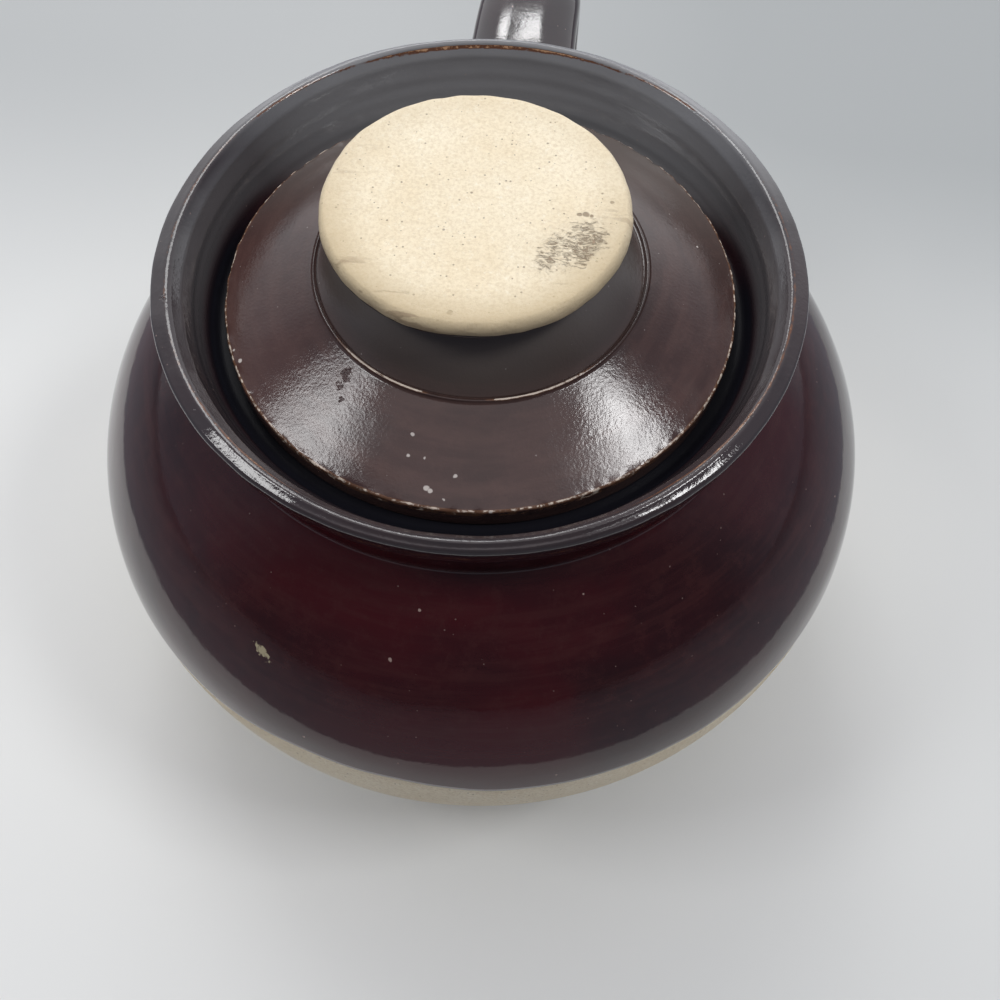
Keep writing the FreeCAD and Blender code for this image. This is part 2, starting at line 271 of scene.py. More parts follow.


# A glaze pooled dark over red-brown, with turning streaks, pale grit and tan clay where it is worn, painted
# glints on some edges, a painted veil of glare and reflection, and painted shade on the ledge under the lid.
def makeGlaze(name, look, marks):
    made = glazeRecipe
    material, tree, shader, where = startMaterial(name)
    cloud = grain(tree, where, look["cloudSize"], *made["cloudDetail"], distortion=made["cloudDistortion"])
    cloud = spread(tree, cloud, *made["cloudFade"])
    streak = grain(tree, where, *made["streakGrain"], stretch=made["streakStretch"])
    streak = spread(tree, streak, *made["streakFade"])
    colour = mixColours(tree, cloud, look["dark"], look["red"])
    colour = tint(tree, streak, look["streakShare"], colour, look["light"])
    mottle = spread(tree, grain(tree, where, *made["mottleGrain"]), *made["mottleFade"])
    colour = tint(tree, mottle, look["mottleShare"], colour, look["light"])
    parts = tree.nodes.new("ShaderNodeSeparateXYZ")
    tree.links.new(where, parts.inputs["Vector"])
    crown = spread(tree, parts.outputs["Z"], look["crownFrom"], look["crownFrom"] + made["crownRise"])
    colour = tint(tree, crown, made["crownShare"], colour, look["crown"])
    # Painted light: a pale grey veil of painted glare and reflection inside the collar, over the rim and the
    # lid's back, and a painted reflection of the cream disc in the knob's waist.
    colour = mixColours(tree, attribute(tree, "paintedLight"), colour, look["paintedLight"])
    # The amber and tan mark thin glaze and chips, and also paint glints on the lid's edges, the bead round
    # the knob's foot and the rim's lower edge.
    broken = grain(tree, where, *made["brokenGrain"])
    wearAndGlint = attribute(tree, "wearAndGlint")
    wearAndGlintLevel = maths(tree, "ADD", wearAndGlint, maths(tree, "MULTIPLY", broken, made["brokenShare"]))
    amberShare = spread(tree, wearAndGlintLevel, *made["amberFade"])
    tanShare = spread(tree, wearAndGlintLevel, *made["tanFade"])
    colour = mixColours(tree, amberShare, colour, look["amber"])
    colour = mixColours(tree, tanShare, colour, look["tan"])
    grit = flecks(tree, where, look["gritSpacing"], look["gritRadius"], look["gritShare"])
    dust = flecks(tree, where, *made["dustFlecks"])
    colour = tint(tree, dust, look["dust"], colour, look["grit"])
    grit = maths(tree, "MAXIMUM", grit, spots(tree, where, marks["pale"]))
    colour = mixColours(tree, grit, colour, look["grit"])
    if marks["smear"]:
        smear = spots(tree, where, marks["smear"], made["markWobble"])
        colour = tint(tree, smear, made["smearShare"], colour, look["smear"])
    if marks["pits"]:
        bruised = spots(tree, where, marks["pits"], made["markWobble"])
        bruised = maths(tree, "MULTIPLY", bruised, spread(tree, broken, *made["bruiseFade"]))
        colour = tint(tree, bruised, made["bruiseShare"], colour, look["dark"])
    # Painted shade: the ledge under the lid is painted near black, with its specular reflection turned down.
    ledgeShaded = attribute(tree, "ledgeShade")
    tree.links.new(mixColours(tree, ledgeShaded, colour, look["ledgeShade"]), shader.inputs["Base Color"])
    tree.links.new(spread(tree, ledgeShaded, 0, 1, *made["specular"]), shader.inputs["Specular IOR Level"])
    gloss = grain(tree, where, *made["glossGrain"])
    gloss = spread(tree, gloss, *made["glossFade"], look["gloss"], look["gloss"] + look["dull"])
    rough = maths(tree, "MULTIPLY", maths(tree, "MAXIMUM", tanShare, ledgeShaded), made["roughShare"])
    tree.links.new(maths(tree, "ADD", gloss, rough), shader.inputs["Roughness"])
    shader.inputs["IOR"].default_value = look["ior"]
    ripple = bump(tree, grain(tree, where, *made["rippleGrain"]), look["ripple"], made["rippleDistance"])
    peelStrength = spread(tree, crown, 0, 1, look["peel"], look["crownPeel"])
    peel = grain(tree, where, look["peelSize"], *made["peelDetail"])
    peel = bump(tree, peel, peelStrength, made["peelDistance"], ripple)
    pits = bump(tree, flecks(tree, where, *made["pitFlecks"]), *made["pitBump"], peel)
    if marks["pits"]:
        pits = bump(tree, bruised, *made["bruiseBump"], pits)
    tree.links.new(pits, shader.inputs["Normal"])
    return material


clayRecipe = {
    "cloudGrain": (0.022, 5, 0.6), "cloudFade": (0.3, 0.72), "sandGrain": (0.0007, 5, 0.8),
    "sandFade": (0.40, 0.66), "paleGrain": (0.0011, 4, 0.75), "paleFade": (0.56, 0.72), "paleShare": 0.5,
    "fineFlecks": (0.00095, 0.00024, 0.34), "fineShare": 0.62,
    "coarseFlecks": (0.0085, 0.00052, 0.45), "coarseShare": 0.7,
    "foldGrain": (0.005, 4, 0.6), "foldStretch": (0.3, 1.7, 1.7), "foldFade": (0.60, 0.66), "foldShare": 0.55,
    "strokeGrain": (0.0016, 5, 0.8), "strokeStretch": (1, 1.9, 1), "strokeDistortion": 1.2,
    "patchGrain": (0.006, 2), "patchShare": 0.35, "scuffFade": (1.25, 1.40), "scuffShare": 0.8, "dull": 0.15,
    "coatGrain": (0.0009, 5, 0.8), "coatDistance": 0.0004, "dentGrain": (0.009, 4, 0.6),
    "dentBump": (0.35, 0.0008), "creaseBump": (0.7, -0.0004), "coarseBump": (0.5, -0.0002),
}


# Bare stoneware: cream, finely sanded, with iron specks and dark scuffs where it is rubbed, and painted shade
# on the knob's edge, where fine cracks show.
def makeClay(name, look):
    made = clayRecipe
    material, tree, shader, where = startMaterial(name)
    cloud = spread(tree, grain(tree, where, *made["cloudGrain"]), *made["cloudFade"])
    colour = mixColours(tree, cloud, look["cream"], look["warm"])
    sand = spread(tree, grain(tree, where, *made["sandGrain"]), *made["sandFade"])
    colour = tint(tree, sand, look["sandShare"], colour, look["sand"])
    pale = spread(tree, grain(tree, where, *made["paleGrain"]), *made["paleFade"])
    colour = tint(tree, pale, made["paleShare"], colour, look["pale"])
    fine = flecks(tree, where, *made["fineFlecks"])
    colour = tint(tree, fine, made["fineShare"], colour, look["speck"])
    coarse = flecks(tree, where, *made["coarseFlecks"])
    coarse = maths(tree, "MAXIMUM", coarse, spots(tree, where, look["specks"]))
    colour = tint(tree, coarse, made["coarseShare"], colour, look["speck"])
    # Painted shade: the knob's edge is painted darker and warmer, most at the front; fine cracks show in that
    # band.
    edgeShade = attribute(tree, "paintedLight")
    colour = mixColours(tree, edgeShade, colour, look["edge"])
    folds = grain(tree, where, *made["foldGrain"], stretch=made["foldStretch"])
    folds = spread(tree, folds, *made["foldFade"])
    folds = maths(tree, "MULTIPLY", folds, maths(tree, "MULTIPLY", edgeShade, made["foldShare"]))
    colour = mixColours(tree, folds, colour, look["scuff"])
    strokes = grain(tree, where, *made["strokeGrain"], stretch=made["strokeStretch"],
                    distortion=made["strokeDistortion"])
    patchy = maths(tree, "MULTIPLY", grain(tree, where, *made["patchGrain"]), made["patchShare"])
    scuffed = maths(tree, "ADD", maths(tree, "ADD", attribute(tree, "wearAndGlint"), strokes), patchy)
    scuffed = spread(tree, scuffed, *made["scuffFade"])
    colour = tint(tree, scuffed, made["scuffShare"], colour, look["scuff"])
    tree.links.new(colour, shader.inputs["Base Color"])
    dullness = spread(tree, sand, 0, 1, look["gloss"], look["gloss"] + made["dull"])
    tree.links.new(dullness, shader.inputs["Roughness"])
    sanded = bump(tree, grain(tree, where, *made["coatGrain"]), look["grainBump"], made["coatDistance"])
    dents = bump(tree, grain(tree, where, *made["dentGrain"]), *made["dentBump"], sanded)
    creases = maths(tree, "MULTIPLY", strokes, attribute(tree, "wearAndGlint"))
    dents = bump(tree, maths(tree, "ADD", scuffed, creases), *made["creaseBump"], dents)
    tree.links.new(bump(tree, coarse, *made["coarseBump"], dents), shader.inputs["Normal"])
    return material


potGlazeLook = {
    "dark": (0.019, 0.0045, 0.0060), "red": (0.046, 0.0045, 0.0065), "light": (0.055, 0.016, 0.015),
    "streakShare": 0.4, "mottleShare": 0.45, "cloudSize": 0.05,
    "amber": (0.12, 0.052, 0.028), "tan": (0.42, 0.24, 0.13),
    # The near-black ledge colour here is painted shade; the pale grey veil colour is painted glare and
    # reflection.
    "ledgeShade": (0.007, 0.007, 0.010), "paintedLight": (0.195, 0.197, 0.202), "smear": (0.50, 0.44, 0.28),
    "grit": (0.32, 0.23, 0.20), "gritSpacing": 0.0052, "gritRadius": 0.0004, "gritShare": 0.2, "dust": 0.4,
    "gloss": 0.02, "dull": 0.04, "ior": 1.5, "ripple": 0.06, "peelSize": 0.0009, "peel": 0.04,
    "crownFrom": 0.111, "crownPeel": 0.16, "crown": (0.017, 0.014, 0.016),
}
potMarks = {
    "pale": [(-7.5, -73.7, 95.1, 0.5), (-2.7, -66.0, 102.3, 0.4), (-2.4, -75.2, 93.4, 0.35)],
    "smear": [(-36.0, -71.6, 88.9, 0.7), (-34.6, -72.1, 88.5, 1.0), (-33.3, -72.8, 87.8, 1.2),
              (-32.1, -73.5, 87.0, 1.0)],
    "pits": [(-57.9, -18.4, 124.2, 0.9), (50.1, 29.1, 124.2, 0.8), (51.6, -30.0, 124.2, 0.9)],
}
lidGlazeLook = {
    "dark": (0.040, 0.021, 0.019), "red": (0.056, 0.027, 0.024), "light": (0.085, 0.045, 0.038),
    "streakShare": 0.5, "mottleShare": 0.35, "cloudSize": 0.03,
    # The pale tan also paints glints on the lid's edges; the warm grey veil colour is a painted reflection,
    # and the near-black ledge colour is painted shade.
    "amber": (0.12, 0.060, 0.036), "tan": (0.60, 0.52, 0.44),
    "ledgeShade": (0.007, 0.007, 0.010), "paintedLight": (0.126, 0.109, 0.099), "smear": (0.50, 0.44, 0.28),
    "grit": (0.46, 0.42, 0.39), "gritSpacing": 0.0085, "gritRadius": 0.0004, "gritShare": 0.25, "dust": 0.3,
    "gloss": 0.12, "dull": 0.08, "ior": 1.5, "ripple": 0.10, "peelSize": 0.00065, "peel": 0.14,
    "crownFrom": 0.1205, "crownPeel": 0.13, "crown": (0.045, 0.036, 0.030),
}
handleGlazeLook = {**potGlazeLook, "peel": 0.03, "crownPeel": 0.04, "ripple": 0.02, "gloss": 0.08}
handleMarks = {"pale": [], "smear": [], "pits": []}
lidMarks = {
    "pale": [(-7.3, -39.2, 119.1, 0.42), (-7.7, -42.9, 117.8, 0.42), (-4.6, -43.0, 117.8, 0.3),
             (1.3, -45.5, 116.8, 0.5), (-3.6, -48.0, 115.7, 0.62), (-2.9, -48.4, 115.6, 0.5),
             (-0.2, -49.6, 115.1, 0.35), (-43.6, -24.5, 114.9, 0.5), (8.3, -50.7, 114.4, 0.4),
             (-45.5, -22.0, 114.6, 0.35), (15.1, -24.6, 121.0, 0.35)],
    "smear": [],
    "pits": [(-21.2, -28.9, 120.7, 1.3), (-22.2, -31.0, 120.1, 0.9), (-21.6, -33.6, 119.2, 0.6)],
}
clayLook = {
    "cream": (0.88, 0.79, 0.60), "warm": (0.82, 0.70, 0.49), "sand": (0.60, 0.48, 0.31),
    "pale": (0.93, 0.89, 0.76), "sandShare": 0.5, "speck": (0.16, 0.105, 0.06),
    # The edge colour is a painted shade for the knob's edge.
    "scuff": (0.26, 0.175, 0.105), "edge": (0.55, 0.44, 0.27), "gloss": 0.62, "grainBump": 0.6,
    "specks": [(23.8, 2.7, 138, 0.5), (-1.7, -25.9, 138, 0.6), (19.3, -0.8, 138, 0.8), (18.2, -0.9, 138, 0.6),
               (20.4, -1.0, 138, 0.5)],
}
potGlaze = makeGlaze("potGlaze", potGlazeLook, potMarks)
lidGlaze = makeGlaze("lidGlaze", lidGlazeLook, lidMarks)
handleGlaze = makeGlaze("handleGlaze", handleGlazeLook, handleMarks)
bareClay = makeClay("bareClay", clayLook)
print("finishes made")


# The pot: the glazed upper part and inside, and the bare clay foot under it. A rounding, reach or
# fade is in millimetres. A waver is the amount, size and seed of its noise.

pot = {
    "turnSteps": 320, "footRadius": 58, "footTop": 3.5, "footBevel": 1.2, "footHollow": 0.3,
    "hollowRadius": 50, "ringRadius": 51.2, "bellyRadius": 90.2, "bellyHeight": 57,
    "footCentre": (29.65, 57), "bellyCentre": (38.27, 57), "bellyArc": 51.93, "turn": (81.64, 85.57),
    "shoulderCentre": (23.3, 47.14), "neckRadius": 59.8, "neckFoot": 106.7, "neckTop": 115.5,
    "grooveEnd": (60.67, 116.655), "grooveCentre": (61.0, 115.5),
    "rimUnder": (63.1, 119.45), "rimUnderCentre": (59.734, 119.923), "rimRadius": 63.5, "rimSide": 122.27,
    "rimOuterCentre": (62.2, 122.5), "rimOuterRidge": (63.05, 123.53), "rimHollowCentre": (67.12, 136.95),
    "rimInnerRidge": (61.69, 124.02), "rimInnerCentre": (61.1, 122.9), "rimInnerEdge": (60.0, 123.53),
    "collarTop": (58.7, 121.8), "collarFoot": (55.0, 111.05), "seatRadius": 52.545, "seatCurve": 111.9,
    "seatHeight": 109.3, "ledgeThickness": 5, "mouthRadius": 46, "ledgeRoot": (58, 100.74),
    "innerTurn": (76.63, 82.27), "bellyInside": 84.2, "floorCentre": (32.94, 57), "floorRadius": 48,
    "floorHeight": 8, "neckRounding": 0.5, "mouthRounding": 0.8, "ledgeRounding": 1.5,
    "glazeLine": 65.2, "glazeThickness": 0.4, "lining": 2.6, "liningRadius": 54, "liningGap": 0.05,
    "clayTop": 71, "clayGap": 0.1, "coatDepth": 0.3,
    "driftAmount": 0.3, "driftTop": 86, "driftFade": (1, 13), "coatFade": (5, 19),
    "lineDrifts": [(-100, 14, 1.9), (-148, 30, -0.9), (-30, 30, -0.6)],
    "rimOval": 0.9, "ovalTurn": 8, "ovalFrom": 50, "ovalRise": (112, 121), "ovalEnd": (60.5, 63.2),
    "turningRise": (111, 112.5), "turningEnd": (120.5, 121.8), "turningRadius": 59,
    "turningAmount": 0.0035, "turningSize": 2.1,
    "waver": (0.2, 34, 3), "waverFade": (2, 10), "rimWaver": (0.12, 6, 11), "rimWaverRise": (117, 120),
    # Of these rings, the rim's inner line, the amber outer face and the mouth's edge are wear; the ring at
    # the rim's lower outer edge is a painted highlight.
    "wearAndGlintRings": [(60.45, 123.9, 0.6, 0.72), (62.83, 118.5, 0.5, 0.76), (63.3, 120.7, 1.7, 0.5),
                  (46, 109.3, 1.2, 0.4)],
}


# The radius of the belly's upper arc at a height, or of a shell inside it.
def bellyAt(height, inset=0):
    rise = height - pot["bellyHeight"]
    return pot["bellyCentre"][0] + math.sqrt((pot["bellyArc"] - inset) ** 2 - rise ** 2)


# The glaze ran to an uneven line. A drift is its azimuth, half width and rise.
def glazeDrift(co):
    angle = math.atan2(co.y, co.x)
    ring = Vector((math.cos(angle), math.sin(angle), 0))
    fine, broad = noise.noise(ring * 9 + Vector((2, 5, 8))), noise.noise(ring * 2 + Vector((7, 3, 1)))
    rise = pot["driftAmount"] * fine + pot["driftAmount"] * broad
    for azimuth, width, height in pot["lineDrifts"]:
        away = (math.degrees(angle) - azimuth + 180) % 360 - 180
        rise += height * math.exp(-(away / width) ** 4)
    return rise


# Moves the glaze's lowest rows with the drift and lets the coat stand proud of the clay.
def settleGlaze(bm):
    driftFrom, driftTo = (line + height for height in pot["driftFade"])
    coatFrom, coatTo = (line + height for height in pot["coatFade"])
    for vert in bm.verts:
        height = vert.co.z
        radius = math.hypot(vert.co.x, vert.co.y)
        if line - 1 < height < pot["driftTop"] and radius > bellyAt(height) - 0.5:
            outer = radius > bellyAt(height) - 0.1
            share = 1 - smoothStep(height, driftFrom, driftTo)
            proud = coat * (1 - smoothStep(height, coatFrom, coatTo)) if outer else 0
            lifted = height + share * glazeDrift(vert.co) if outer or height < driftFrom else height
            grown = radius + bellyAt(lifted) - bellyAt(height) + proud
            vert.co = Vector((vert.co.x * grown / radius, vert.co.y * grown / radius, lifted))


# The rim was pressed slightly oval while the clay was soft.
def pressOval(bm):
    for vert in bm.verts:
        radius = math.hypot(vert.co.x, vert.co.y)
        if vert.co.z > pot["ovalRise"][0] and radius > pot["ovalFrom"]:
            share = smoothStep(vert.co.z, *pot["ovalRise"]) * (1 - smoothStep(radius, *pot["ovalEnd"]))
            turned = math.atan2(vert.co.y, vert.co.x) - math.radians(pot["ovalTurn"])
            grown = radius - share * pot["rimOval"] * math.cos(2 * turned)
            vert.co.x *= grown / radius
            vert.co.y *= grown / radius


line = pot["glazeLine"]
coat = pot["glazeThickness"]
lining = pot["lining"]
liningTop = lining + pot["liningGap"]
ledgeUnder = pot["seatHeight"] - pot["ledgeThickness"]
potSection = drawSection((0, liningTop), [
    ((pot["liningRadius"], liningTop), 6),
    ((pot["bellyRadius"] - lining - pot["liningGap"], pot["bellyHeight"]), 14, pot["footCentre"]),
    ((bellyAt(pot["clayTop"], lining), pot["clayTop"] + pot["clayGap"]), 6, pot["bellyCentre"]),
    ((bellyAt(pot["clayTop"]) - pot["coatDepth"], pot["clayTop"] + pot["clayGap"]), 2),
    ((bellyAt(line) - pot["coatDepth"], line), 3, pot["bellyCentre"]),
    ((bellyAt(line), line), 1),
    (pot["turn"], 26, pot["bellyCentre"]),
    ((pot["neckRadius"], pot["neckFoot"]), 22, pot["shoulderCentre"]),
    ((pot["neckRadius"], pot["neckTop"]), 6),
    (pot["grooveEnd"], 4, pot["grooveCentre"]),
    (pot["rimUnder"], 12, pot["rimUnderCentre"]),
    ((pot["rimRadius"], pot["rimSide"]), 3),
    (pot["rimOuterRidge"], 7, pot["rimOuterCentre"]),
    (pot["rimInnerRidge"], 7, pot["rimHollowCentre"]),
    (pot["rimInnerEdge"], 9, pot["rimInnerCentre"]),
    (pot["collarTop"], 4),
    (pot["collarFoot"], 26),
    ((pot["seatRadius"], pot["seatHeight"]), 8, (pot["seatRadius"], pot["seatCurve"])),
    ((pot["mouthRadius"], pot["seatHeight"]), 4),
    ((pot["mouthRadius"], ledgeUnder), 4),
    (pot["ledgeRoot"], 5),
    (pot["innerTurn"], 8, pot["shoulderCentre"]),
    ((pot["bellyInside"], pot["bellyHeight"]), 8, pot["bellyCentre"]),
    ((pot["floorRadius"], pot["floorHeight"]), 18, pot["floorCentre"]),
    ((0, pot["floorHeight"]), 8),
])
potShell = turnSection(potSection, pot["turnSteps"])
roundRings(potShell, [(pot["neckRadius"], pot["neckFoot"], pot["neckRounding"]),
                      (pot["mouthRadius"], pot["seatHeight"], pot["mouthRounding"]),
                      (pot["mouthRadius"], ledgeUnder, pot["mouthRounding"]),
                      (*pot["ledgeRoot"], pot["ledgeRounding"])])
settleGlaze(potShell)
for vert in potShell.verts:   # faint turning rings inside the collar
    collarShare = (smoothStep(vert.co.z, *pot["turningRise"])
                   * (1 - smoothStep(vert.co.z, *pot["turningEnd"])))
    if collarShare and math.hypot(vert.co.x, vert.co.y) < pot["turningRadius"]:
        turning = noise.noise(Vector((3, 7, vert.co.z / pot["turningSize"])))
        vert.co.xy *= 1 + pot["turningAmount"] * collarShare * turning
pressOval(potShell)
waverFrom, waverTo = (line + height for height in pot["waverFade"])
handThrown(potShell, *pot["waver"], lambda co: smoothStep(co.z, waverFrom, waverTo))
handThrown(potShell, *pot["rimWaver"], lambda co: smoothStep(co.z, *pot["rimWaverRise"]))


collar = {
    "backFade": (8, 50), "frontShare": 0.09, "innerShare": 0.35, "innerFade": (-50, 0),
    "innerEnd": (58, 60.5), "lowFade": (15, 35), "paintedLightRise": (110, 115), "paintedLightDrop": (3, 4),
    "flare": 0.36, "flareFoot": 111, "outsideFade": (57.2, 58), "crestFade": (122, 123.2),
    "backRing": (60.75, 123.3), "backReach": (0.1, 0.65), "backStrength": 0.92, "backFrom": (30, 50),
    "shadeRadius": 58, "shadeRise": (108.3, 109), "shadeEnd": (110.5, 115), "shadeBack": (5, 35),
}


# Painted light: a pale grey veil painted inside the collar and over the rim's crest, most of it at the back
# and hardly any outside it, stands in for glare and reflected light.
def collarPaintedVeil(co):
    radius = math.hypot(co.x, co.y)
    inner = (collar["innerShare"] * smoothStep(co.y, *collar["innerFade"])
             * (1 - smoothStep(radius, *collar["innerEnd"])))
    share = max(smoothStep(co.y, *collar["backFade"]), collar["frontShare"], inner)
    upright = radius - collar["flare"] * (co.z - collar["flareFoot"])
    outside = smoothStep(upright, *collar["outsideFade"]) * (1 - smoothStep(co.z, *collar["crestFade"]))
    low = smoothStep(co.y, *collar["lowFade"])
    riseFrom, riseTo = (height - drop * low for height, drop in zip(collar["paintedLightRise"], collar["paintedLightDrop"]))
    return smoothStep(co.z, riseFrom, riseTo) * share * (1 - outside)


# At the back the worn line follows the inner rounding, which the pressing moved outwards.
def backWear(co):
    radius, height = collar["backRing"]
    away = math.hypot(math.hypot(co.x, co.y) - radius, co.z - height)
    return (collar["backStrength"] * (1 - smoothStep(away, *collar["backReach"]))
            * smoothStep(co.y, *collar["backFrom"]))


# Painted shade: the ledge where the lid rests is painted near black, as if in the lid's shadow, least at the
# back.
def paintedLedgeShade(co):
    if math.hypot(co.x, co.y) > collar["shadeRadius"]:
        return 0
    return (smoothStep(co.z, *collar["shadeRise"]) * (1 - smoothStep(co.z, *collar["shadeEnd"]))
            * (1 - smoothStep(co.y, *collar["shadeBack"])))


paintWearAndLight(potShell, pot["wearAndGlintRings"], backWear, paintedLightMask=collarPaintedVeil, ledgeShade=paintedLedgeShade)
finishPiece(potShell, "pot_glazed", potGlaze, "pot", "brown_glaze", "pot_body")

footFlat = pot["footRadius"] - pot["footBevel"]
footSection = drawSection((0, pot["footHollow"]), [
    ((pot["hollowRadius"], pot["footHollow"]), 6),
    ((pot["ringRadius"], 0), 2),
    ((footFlat, 0), 2),
    ((pot["footRadius"], pot["footBevel"]), 4, (footFlat, pot["footBevel"])),
    ((pot["footRadius"], pot["footTop"]), 2),
    ((pot["bellyRadius"], pot["bellyHeight"]), 34, pot["footCentre"]),
    ((bellyAt(pot["clayTop"]), pot["clayTop"]), 10, pot["bellyCentre"]),
    ((bellyAt(pot["clayTop"], lining), pot["clayTop"]), 2),
    ((pot["bellyRadius"] - lining, pot["bellyHeight"]), 6, pot["bellyCentre"]),
    ((pot["liningRadius"], lining), 14, pot["footCentre"]),
    ((0, lining), 6),
])
footShell = turnSection(footSection, pot["turnSteps"])
paintWearAndLight(footShell, [])
finishPiece(footShell, "pot_foot", bareClay, "pot", "bare_clay", "pot_body")
print("pot made")


# The lid and its knob.

lid = {
    "turnSteps": 480, "hollowTop": (33.6, 116), "hollowEdge": (39.5, 112.8), "ringInside": 39.5,
    "ringOutside": 44.5, "ringBottom": 102.8, "seatHeight": 109.3, "radius": 51.4, "edgeTop": 114.35,
    "coneTop": (32.95, 121.93), "beadEnd": (32.35, 122.1), "beadCentre": (32.65, 122.0),
    "flatRadius": 32.0, "flatHeight": 121.9,
    "edgeRounding": 0.4, "underRounding": 0.5, "ringRounding": 1.2,
    "waver": (0.25, 20, 5), "edgeWaver": (0.25, 1.6, 9), "edgeFrom": (50.2, 51.3), "edgeAbove": 112.5,
    # The ring at the lid's lower edge and the bead line are painted glints, the top edge line is partly chips
    # and partly a painted glint, and the share and fade paint a pale reflection over the lid's back.
    "wearAndGlintRings": [(51.35, 109.55, 0.35, 0.6)], "reflectionShare": 0.88, "reflectionFade": (0, 45),
    "edgeChipGlint": (51.15, 0.73), "edgeChipGlintReach": (0.1, 0.5), "edgeChipGlintHeights": (113, 115),
    "beadGlint": (32.6, 0.86), "beadGlintReach": (0.1, 0.55), "beadGlintAbove": 121.5,
    "beadGlintFrom": (4, 14), "beadGlintTo": (38, 60),
}
lidSection = drawSection((0, lid["hollowTop"][1]), [
    (lid["hollowTop"], 6),
    (lid["hollowEdge"], 4),
    ((lid["ringInside"], lid["ringBottom"]), 5),
    ((lid["ringOutside"], lid["ringBottom"]), 4),
    ((lid["ringOutside"], lid["seatHeight"]), 4),
    ((lid["radius"], lid["seatHeight"]), 5),
    ((lid["radius"], lid["edgeTop"]), 8),
    (lid["coneTop"], 30),
    (lid["beadEnd"], 6, lid["beadCentre"]),
    ((lid["flatRadius"], lid["flatHeight"]), 2),
    ((0, lid["flatHeight"]), 3),
])
lidShell = turnSection(lidSection, lid["turnSteps"])
roundRings(lidShell, [(lid["radius"], lid["edgeTop"], lid["edgeRounding"]),
                      (lid["radius"], lid["seatHeight"], lid["underRounding"]),
                      (lid["ringOutside"], lid["ringBottom"], lid["ringRounding"]),
                      (lid["ringInside"], lid["ringBottom"], lid["ringRounding"])])


# The lid's edge wavers more than its cone.
def edgeShare(co):
    return smoothStep(math.hypot(co.x, co.y), *lid["edgeFrom"]) if co.z > lid["edgeAbove"] else 0


handThrown(lidShell, *lid["waver"])
handThrown(lidShell, *lid["edgeWaver"], edgeShare)


# The lid's top edge is pale where the glaze is chipped and where a glint is painted on it; the pale line on
# the front half of the bead round the knob's foot is a painted highlight.
def edgeChipsAndGlints(co):
    radius = math.hypot(co.x, co.y)
    lowest, highest = lid["edgeChipGlintHeights"]
    if lowest < co.z < highest:
        place, strength = lid["edgeChipGlint"]
        return strength * (1 - smoothStep(abs(radius - place), *lid["edgeChipGlintReach"]))
    if co.z <= lid["beadGlintAbove"]:
        return 0
    place, strength = lid["beadGlint"]
    near = 1 - smoothStep(abs(radius - place), *lid["beadGlintReach"])
    turned = abs((math.degrees(math.atan2(co.y, co.x)) + 270) % 360 - 180)
    return (strength * near * smoothStep(turned, *lid["beadGlintFrom"])
            * (1 - smoothStep(turned, *lid["beadGlintTo"])))


# Painted reflection: a pale reflection of the room is painted over the lid, growing towards the back.
def lidPaintedReflection(co):
    return lid["reflectionShare"] * smoothStep(co.y, *lid["reflectionFade"])


paintWearAndLight(lidShell, lid["wearAndGlintRings"], edgeChipsAndGlints, paintedLightMask=lidPaintedReflection)
finishPiece(lidShell, "lid_glazed", lidGlaze, "lid", "lid_glaze", "lid")

knob = {
    "turnSteps": 320, "shift": (-0.8, -0.1), "shiftRise": (122.5, 130),
    "base": 121.8, "footRadius": 32.1, "waist": (24.2, 131.6), "waistCentre": (49.1, 143.4),
    "flare": (26.4, 134.3), "flareCentre": (27.2, 131.3), "lip": (28.4, 134.9), "lipTop": 135.3,
    "discBase": 135.2, "discFoot": 28.3, "discRadius": 28.75, "discSide": (135.6, 136.2),
    "topEdge": (27.4, 138.0), "topEdgeCentre": (26.7, 136.2), "top": 138.0,
    "waver": (0.35, 12, 21), "waverFrom": (24, 28.5), "edgeWaver": (0.14, 3, 4), "edgeFrom": (25, 28),
    # Below, the waist's share and rise paint the cream disc's reflection into the waist, and the disc's edge
    # keys paint its edge darker towards the front.
    "wearAndGlintRings": [(28.75, 135.2, 0.8, 0.5)], "reflectionShare": (0.2, 0.8), "paintedLightRise": (123, 130),
    "scuffPlace": (17.5, -8.5), "scuffSize": (15, 9), "scuffReach": (0.35, 1.1), "scuffStrength": 0.6,
    "scuffAbove": 137, "edgeShadeFrom": (19, 28.4), "edgeShadeShare": (0.9, 0.6), "edgeShadeBack": (-20, 15),
}


# The knob was set slightly off the lid's middle, so it moves over while its foot stays.
def moveKnob(bm):
    for vert in bm.verts:
        share = smoothStep(vert.co.z, *knob["shiftRise"])
        vert.co += Vector((*knob["shift"], 0)) * share


# Painted reflection: the waist is painted with the cream disc's reflection, strongest just under the disc.
def waistPaintedReflection(co):
    least, more = knob["reflectionShare"]
    return least + more * smoothStep(co.z, *knob["paintedLightRise"])


waistSection = drawSection((0, knob["base"]), [
    ((knob["footRadius"], knob["base"]), 6),
    (knob["waist"], 26, knob["waistCentre"]),
    (knob["flare"], 5, knob["flareCentre"]),
    (knob["lip"], 4),
    ((knob["lip"][0], knob["lipTop"]), 2),
    ((0, knob["lipTop"]), 4),
])
waistShell = turnSection(waistSection, knob["turnSteps"])
moveKnob(waistShell)
paintWearAndLight(waistShell, knob["wearAndGlintRings"], paintedLightMask=waistPaintedReflection)
finishPiece(waistShell, "knob_waist", lidGlaze, "lid", "lid_glaze", "lid_knob")

